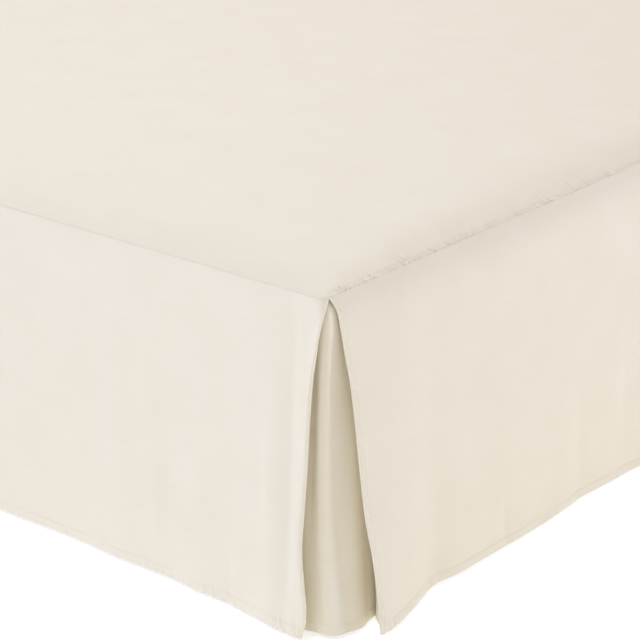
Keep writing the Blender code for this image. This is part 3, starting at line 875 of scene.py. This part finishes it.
def lay_deck(material):
    """The deck: a fine band round its rim, filled by a coarser sheet in the middle."""
    strips = deck_strips()
    rings = [deck_ring(strips, inwards) for inwards in BAND_ROWS]
    across, down = len(rings[0]), len(rings) - 1
    edit = bmesh.new()
    bmesh.ops.create_grid(edit, x_segments=across, y_segments=down, size=0.5)
    inner = []
    for vertex in edit.verts:
        column = round((vertex.co.x + 0.5) * across) % across
        row = round((vertex.co.y + 0.5) * down)
        vertex.co = rings[row][column]
        if row == down:
            inner.append(vertex)
    bmesh.ops.remove_doubles(edit, verts=edit.verts, dist=WELD)
    inner = {vertex for vertex in inner if vertex.is_valid}
    rim = [edge for edge in edit.edges if edge.is_boundary and set(edge.verts) <= inner]
    made = bmesh.ops.contextual_create(edit, geom=rim)
    sheet_geom = made["faces"]
    for axis, reach in ((Vector((1, 0, 0)), SEAM_X), (Vector((0, 1, 0)), SEAM_Y)):
        count = round(2 * reach / DECK_CELL)
        for number in range(1, count):
            spot = axis * (2 * reach * number / count - reach) + Vector((0, CENTRE_Y, 0))
            faces = [face for face in sheet_geom if face.is_valid]
            edges = {edge for face in faces for edge in face.edges}
            verts = {vertex for face in faces for vertex in face.verts}
            cut = bmesh.ops.bisect_plane(edit, geom=faces + list(edges) + list(verts), dist=WELD,
                                         plane_co=spot, plane_no=axis)
            sheet_geom = [thing for thing in cut["geom"] if isinstance(thing, bmesh.types.BMFace)]
    middle = {vertex for face in sheet_geom for vertex in face.verts} - inner
    for vertex in middle:
        if not any(edge.is_boundary for edge in vertex.link_edges) and len(vertex.link_edges) > 3:
            vertex.co = deck_point(vertex.co.x, vertex.co.y - CENTRE_Y, 0.0, 1.0)
    bmesh.ops.recalc_face_normals(edit, faces=edit.faces)
    edit.faces.ensure_lookup_table()
    if max(edit.faces, key=lambda face: face.calc_area()).normal.z < 0:
        bmesh.ops.reverse_faces(edit, faces=edit.faces)
    flat = edit.loops.layers.uv.new("flat")
    for face in edit.faces:
        for loop in face.loops:
            loop[flat].uv = (loop.vert.co.x, loop.vert.co.y)
    piece = finish_piece("deck_cloth", edit, material)
    thicken(piece, CLOTH)
    return piece


# The base, its rails and its legs


def make_base(material):
    """The upholstered base: a deep padded box with round edges and a seam near its top."""
    low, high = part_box("base")
    low.y += BASE_BACK
    edit = bmesh.new()
    bmesh.ops.create_cube(edit, size=1.0)
    bmesh.ops.scale(edit, vec=high - low, verts=edit.verts)
    bmesh.ops.translate(edit, vec=(low + high) / 2, verts=edit.verts)
    uprights = [edge for edge in edit.edges if abs(edge.verts[0].co.z - edge.verts[1].co.z) > WELD]
    bmesh.ops.bevel(edit, geom=uprights, offset=BASE_CORNER, segments=12, profile=0.5,
                    affect="EDGES", material=-1)
    for level, width, segments in ((high.z, BASE_TOP_ROUND, 10), (low.z, BASE_BOTTOM_ROUND, 6)):
        rim = [edge for edge in edit.edges if all(abs(v.co.z - level) < WELD for v in edge.verts)]
        bmesh.ops.bevel(edit, geom=rim, offset=width, segments=segments, profile=0.5,
                        affect="EDGES", material=-1)
    centre = (low + high) / 2
    for seam_level in (high.z - BASE_SEAM_BELOW, low.z + BASE_SEAM_ABOVE):
        for step in (-2, -1, 0, 1, 2):
            level = seam_level + BASE_SEAM_STEP * step
            bmesh.ops.bisect_plane(edit, geom=edit.verts[:] + edit.edges[:] + edit.faces[:],
                                   dist=WELD, plane_co=(0, 0, level), plane_no=(0, 0, 1))
            depth = BASE_SEAM_DEPTH * bell(step / 1.1)
            for vertex in edit.verts:
                if abs(vertex.co.z - level) < WELD:
                    inwards = centre - vertex.co
                    at_side = abs(inwards.x) > BASE_WIDTH / 2 - BASE_CORNER
                    at_end = abs(inwards.y) > BASE_LENGTH / 2 - BASE_CORNER
                    way = Vector((inwards.x * at_side, inwards.y * at_end, 0))
                    vertex.co += way.normalized() * depth
    for cut in BASE_CUTS:
        for x, y in ((1, 0), (-1, 0), (0, 1), (0, -1)):
            place = Vector((x * (SEAM_X - cut), y * (SEAM_Y - cut) + CENTRE_Y, 0))
            bmesh.ops.bisect_plane(edit, geom=edit.verts[:] + edit.edges[:] + edit.faces[:],
                                   dist=WELD, plane_co=place, plane_no=(x, y, 0))
    for vertex in edit.verts:
        deck = SEAM_HEIGHT + deck_rise(vertex.co.x, vertex.co.y - CENTRE_Y)
        vertex.co.z = min(vertex.co.z, deck - BASE_UNDER)
    return finish_piece("bed_base", edit, material, math.radians(50))


def make_rail(node, material):
    """A square tube with rounded arrises."""
    low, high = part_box(node)
    edit = bmesh.new()
    bmesh.ops.create_cube(edit, size=1.0)
    bmesh.ops.scale(edit, vec=high - low, verts=edit.verts)
    bmesh.ops.translate(edit, vec=(low + high) / 2, verts=edit.verts)
    bmesh.ops.bevel(edit, geom=edit.edges[:], offset=TUBE_ARRIS, segments=4, profile=0.5,
                    affect="EDGES", material=-1)
    return finish_piece(node.replace("rail", "tube"), edit, material, math.radians(40))


def make_leg(node, material):
    """A turned leg with a glide at its toe and a collar under the rail."""
    low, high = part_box(node)
    centre = (low + high) / 2
    wide = (high.x - low.x) / 2
    tall = high.z - low.z
    profile = (
        (0.0, 0.0), (wide * 0.74, 0.0), (wide * 0.80, 0.0012), (wide * 0.80, 0.0045),
        (wide * 0.76, 0.0055), (wide * 0.76, 0.0068), (wide * 0.83, 0.0078),
        (wide * 0.85, 0.0100), (wide * 0.955, tall - 0.016), (wide * 0.955, tall - 0.0125),
        (wide * 0.93, tall - 0.0115), (wide * 0.93, tall - 0.0100), (wide * 0.99, tall - 0.0090),
        (wide, tall - 0.0075), (wide, tall - 0.0012), (wide * 0.97, tall), (0.0, tall),
    )
    edit = bmesh.new()
    spots = [edit.verts.new((centre.x + out, centre.y, low.z + up)) for out, up in profile]
    outline = [edit.edges.new(pair) for pair in zip(spots, spots[1:])]
    bmesh.ops.spin(edit, geom=spots + outline, cent=centre, axis=(0, 0, 1), angle=math.tau,
                   steps=40, use_merge=True)
    bmesh.ops.remove_doubles(edit, verts=edit.verts, dist=WELD)
    bmesh.ops.recalc_face_normals(edit, faces=edit.faces)
    return finish_piece(node + "_turned", edit, material, math.radians(35))


# Materials


def shade(hex_colour):
    """An sRGB hex colour as linear numbers."""
    channels = [int(hex_colour[start:start + 2], 16) / 255 for start in (1, 3, 5)]
    linear = [c / 12.92 if c <= 0.04045 else ((c + 0.055) / 1.055) ** 2.4 for c in channels]
    return (*linear, 1.0)


def add_node(tree, kind, inputs=None, **settings):
    """Add a node with its settings, and give its inputs values or another node's output."""
    node = tree.nodes.new(kind)
    for name, value in settings.items():
        setattr(node, name, value)
    for name, value in (inputs or {}).items():
        if isinstance(value, bpy.types.NodeSocket):
            tree.links.new(value, node.inputs[name])
        else:
            node.inputs[name].default_value = value
    return node


def new_material(name, **constants):
    """A material with a Principled shader and its constant values."""
    material = bpy.data.materials.new(name)
    material.use_nodes = True
    shader = material.node_tree.nodes["Principled BSDF"]
    for socket, value in constants.items():
        shader.inputs[socket.replace("_", " ")].default_value = value
    return material, material.node_tree, shader


def two_tones(tree, shader, share, low, high, ends=(0.0, 1.0)):
    """Colour a surface between two tones by a node's output."""
    ramp = add_node(tree, "ShaderNodeValToRGB", {"Fac": share})
    for element, place, tone in zip(ramp.color_ramp.elements, ends, (low, high)):
        element.position = place
        element.color = shade(tone)
    tree.links.new(ramp.outputs["Color"], shader.inputs["Base Color"])


def raise_grain(tree, shader, height, strength, distance):
    """Let light fall on a surface as if a node's output raised it by up to a distance."""
    bump = add_node(tree, "ShaderNodeBump",
                    {"Height": height, "Strength": strength, "Distance": distance})
    tree.links.new(bump.outputs["Normal"], shader.inputs["Normal"])


def ivory_microfibre():
    """Brushed polyester microfibre, plain woven: matt, very fine threads, faintly uneven."""
    material, tree, shader = new_material(
        "ivory_brushed_microfibre", Roughness=0.86, Specular_IOR_Level=0.25,
        Sheen_Weight=0.20, Sheen_Roughness=0.45, Sheen_Tint=shade("#fff6e4"))
    flat = add_node(tree, "ShaderNodeUVMap", uv_map="flat")
    split = add_node(tree, "ShaderNodeSeparateXYZ", {"Vector": flat.outputs["UV"]})
    # Real threads lie 0.2 mm apart; they are drawn 0.9 mm apart so that they show close up
    turns = math.tau / 0.0009
    waves = []
    for axis in ("X", "Y"):
        along = add_node(tree, "ShaderNodeMath", {0: split.outputs[axis], 1: turns},
                         operation="MULTIPLY")
        waves.append(add_node(tree, "ShaderNodeMath", {0: along.outputs[0]}, operation="SINE"))
    weave = add_node(tree, "ShaderNodeMath", {0: waves[0].outputs[0], 1: waves[1].outputs[0]},
                     operation="MULTIPLY")
    stretch = add_node(tree, "ShaderNodeMapping",
                       {"Vector": flat.outputs["UV"], "Scale": (9, 700, 1)})
    slub = add_node(tree, "ShaderNodeTexNoise", {"Vector": stretch.outputs[0], "Scale": 1.0,
                                                 "Detail": 3.0})
    cloud = add_node(tree, "ShaderNodeTexNoise", {"Vector": flat.outputs["UV"], "Scale": 14.0,
                                                  "Detail": 4.0})
    tone = add_node(tree, "ShaderNodeMath", {0: slub.outputs["Fac"], 1: cloud.outputs["Fac"]},
                    operation="ADD")
    mean = add_node(tree, "ShaderNodeMath", {0: tone.outputs[0], 1: 0.5}, operation="MULTIPLY")
    two_tones(tree, shader, mean.outputs[0], "#e7ddc4", "#ebe2cb", (0.30, 0.70))
    raise_grain(tree, shader, weave.outputs[0], 0.12, 0.00008)
    return material


def ivory_thread():
    """Spun polyester sewing thread, a soft sheen along its twist."""
    material, tree, shader = new_material("ivory_spun_thread", Roughness=0.62,
                                          Specular_IOR_Level=0.4, Sheen_Weight=0.1)
    spot = add_node(tree, "ShaderNodeTexCoord")
    # The twist repeats every 0.6 mm
    twist = add_node(tree, "ShaderNodeTexWave", {"Vector": spot.outputs["Object"],
                                                 "Scale": 2 / 0.0006 / math.tau},
                     bands_direction="DIAGONAL")
    two_tones(tree, shader, twist.outputs["Fac"], "#e2d8be", "#ece3cd")
    return material


def white_ticking():
    """Cotton ticking: a close twill, plain white, matt."""
    material, tree, shader = new_material("white_cotton_ticking", Roughness=0.92,
                                          Specular_IOR_Level=0.2, Sheen_Weight=0.15)
    spot = add_node(tree, "ShaderNodeTexCoord")
    # Twill lines lie 1 mm apart on the real cloth; they are drawn 3 mm apart
    lines = add_node(tree, "ShaderNodeTexWave", {"Vector": spot.outputs["Object"],
                                                 "Scale": 2 / 0.003 / math.tau},
                     bands_direction="DIAGONAL")
    cloud = add_node(tree, "ShaderNodeTexNoise", {"Vector": spot.outputs["Object"], "Scale": 20.0})
    two_tones(tree, shader, cloud.outputs["Fac"], "#e3e1dc", "#efeeea")
    raise_grain(tree, shader, lines.outputs["Fac"], 0.3, 0.0004)
    return material


def grey_powder_coat():
    """Steel tube under a dark grey powder coat, with its fine orange peel."""
    material, tree, shader = new_material("grey_powder_coated_steel", Roughness=0.48, Metallic=0.0)
    spot = add_node(tree, "ShaderNodeTexCoord")
    # Orange peel is about 1.5 mm across
    peel = add_node(tree, "ShaderNodeTexNoise", {"Vector": spot.outputs["Object"], "Scale": 650.0,
                                                 "Detail": 2.0})
    two_tones(tree, shader, peel.outputs["Fac"], "#3b3d40", "#4b4d50")
    raise_grain(tree, shader, peel.outputs["Fac"], 0.25, 0.0002)
    return material


def black_moulded_plastic():
    """Moulded black polypropylene, satin, lightly grained."""
    material, tree, shader = new_material("black_moulded_polypropylene", Roughness=0.45)
    spot = add_node(tree, "ShaderNodeTexCoord")
    # The mould's grain is about 0.8 mm across
    grain = add_node(tree, "ShaderNodeTexNoise", {"Vector": spot.outputs["Object"], "Scale": 1200.0,
                                                  "Detail": 3.0})
    two_tones(tree, shader, grain.outputs["Fac"], "#1b1b1c", "#262627")
    raise_grain(tree, shader, grain.outputs["Fac"], 0.2, 0.0001)
    return material


# The studio


def way_back(bearing, height):
    """The way from the bed to a place at a bearing round from the foot and a height, in degrees."""
    bearing, height = math.radians(bearing), math.radians(height)
    return Vector((math.sin(bearing) * math.cos(height),
                   -math.cos(bearing) * math.cos(height), math.sin(height)))


def place_camera():
    """The camera, at the photograph's angle to the right foot corner."""
    back = way_back(CAMERA_AZIMUTH, CAMERA_ELEVATION)
    data = bpy.data.cameras.new("camera")
    data.lens = CAMERA_LENS
    data.clip_start = 0.05
    camera = bpy.data.objects.new("camera", data)
    camera.location = seam_corner(1) + Vector(CAMERA_FROM_CORNER)
    camera.rotation_euler = back.to_track_quat("Z", "Y").to_euler()
    bpy.context.scene.collection.objects.link(camera)
    bpy.context.scene.camera = camera


def add_softbox(softbox):
    """A large square light that shows only by what it lights."""
    back = way_back(softbox.bearing, softbox.height)
    data = bpy.data.lights.new(softbox.name, "AREA")
    data.size = softbox.width
    data.energy = softbox.power
    data.color = shade(softbox.colour)[:3]
    light = bpy.data.objects.new(softbox.name, data)
    light.location = Vector(LIT_SPOT) + back * softbox.distance
    light.rotation_euler = back.to_track_quat("Z", "Y").to_euler()
    light.visible_camera = False
    bpy.context.scene.collection.objects.link(light)


def make_studio():
    """A plain white floor, a faint sky and soft lights all round."""
    edit = bmesh.new()
    bmesh.ops.create_grid(edit, x_segments=1, y_segments=1, size=12.0)
    painted = new_material("white_studio_floor", Roughness=0.9, Base_Color=shade("#ffffff"),
                           Emission_Color=shade("#fcfcff"), Emission_Strength=FLOOR_GLOW)[0]
    floor = finish_piece("studio_floor", edit, painted)
    world = bpy.data.worlds.new("studio")
    world.use_nodes = True
    sky = world.node_tree.nodes["Background"]
    sky.inputs["Color"].default_value = shade("#fff2d4")
    sky.inputs["Strength"].default_value = SKY_GLOW
    bpy.context.scene.world = world
    for softbox in SOFTBOXES:
        add_softbox(softbox)
    bpy.context.scene.view_settings.view_transform = "Standard"


def seam_corner(sign):
    """The corner of the seam at the foot, on the right for 1 and on the left for -1."""
    return Vector((sign * SEAM_X, CENTRE_Y - SEAM_Y, SEAM_HEIGHT))


def ride_as(piece, node):
    """Let a piece stand for a solid and move with the bed."""
    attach(piece, "root")
    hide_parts(node)


def main():
    """Dress the bed base and its skirt, and light them."""
    place_camera()
    make_studio()
    cloth = ivory_microfibre()
    thread = ivory_thread()
    ticking = white_ticking()
    steel = grey_powder_coat()
    plastic = black_moulded_plastic()

    base = make_base(ticking)
    ride_as(base, "base")
    for node in sorted(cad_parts):
        if node.startswith("rail"):
            ride_as(make_rail(node, steel), node)
        if node.startswith("leg"):
            ride_as(make_leg(node, plastic), node)

    deck = lay_deck(cloth)
    ride_as(deck, "deck")

    foot = Side(seam_corner(1), Vector((-1, 0, 0)), Vector((0, -1, 0)))
    right = Side(seam_corner(1), Vector((0, 1, 0)), Vector((1, 0, 0)))
    left = Side(seam_corner(-1), Vector((0, 1, 0)), Vector((-1, 0, 0)))
    hidden_foot = -INSERT_HEM[0].along
    hidden_side = INSERT_HEM[-1].over
    foot_hem = (scatter_puckers(FOOT_HEM_GATHERS, 31, breadth=HEM_BREADTH)
                + scatter_puckers(plain_gathers(FOOT_SEAM - 0.45, 0.0008, 32), 33, 0.43,
                                  breadth=HEM_BREADTH))
    right_hem = (scatter_puckers(RIGHT_HEM_GATHERS, 34, breadth=HEM_BREADTH)
                 + scatter_puckers(plain_gathers(SIDE_SEAM - 0.66, 0.0008, 35), 36, 0.66,
                                   breadth=HEM_BREADTH))
    left_hem = scatter_puckers(plain_gathers(SIDE_SEAM, 0.0008, 37), 38, breadth=HEM_BREADTH)
    foot_panel = Panel(FOOT_ROLL, FOOT_GROOVE, FOOT_HANG, FOOT_FOLDS, FOOT_EDGE, hidden_foot,
                       FOOT_TURN, FOOT_CREASES, (), foot_hem, 20)
    right_panel = Panel(SIDE_ROLL, SIDE_GROOVE, SIDE_HANG, RIGHT_FOLDS, SIDE_EDGE, hidden_side,
                        SIDE_TURN, RIGHT_CREASES,
                        scatter_puckers(RIGHT_GATHERS, 3, 0.0, RIGHT_PUCKERS), right_hem, 21)
    left_panel = Panel(SIDE_ROLL, SIDE_GROOVE, SIDE_HANG, LEFT_FOLDS, SIDE_EDGE, hidden_side,
                       SIDE_TURN, LEFT_CREASES, (), left_hem, 22)
    hung = (
        ("skirt_foot", "foot_panel", foot,
         lambda depth: foot_row(foot_panel, depth), FOOT_FLAT_WIDTH),
        ("skirt_right", "right_panel", right,
         lambda depth: side_row(right_panel, depth), SIDE_FLAT_WIDTH),
        ("skirt_left", "left_panel", left,
         lambda depth: side_row(left_panel, depth), SIDE_FLAT_WIDTH),
        ("pleat_insert_right", "right_insert", right,
         lambda depth: insert_row(INSERT_CREASES, depth), INSERT_FLAT_WIDTH),
        ("pleat_insert_left", "left_insert", left,
         lambda depth: insert_row((), depth), INSERT_FLAT_WIDTH),
    )
    turned = RETURN_COLUMNS + BEND_COLUMNS
    for node, name, side, row_at, width in hung:
        piece = hang_cloth(name, side, row_at, cloth)
        ride_as(piece, node)
        row = row_at(DROP - HEM_DEPTH)
        first = 0 if "insert" in name else turned
        last = len(row) - turned if node == "skirt_foot" else len(row)
        stitches = sew_hem(name + "_stitches", side, row, first, last, thread)
        ride_as(stitches, node)


main()
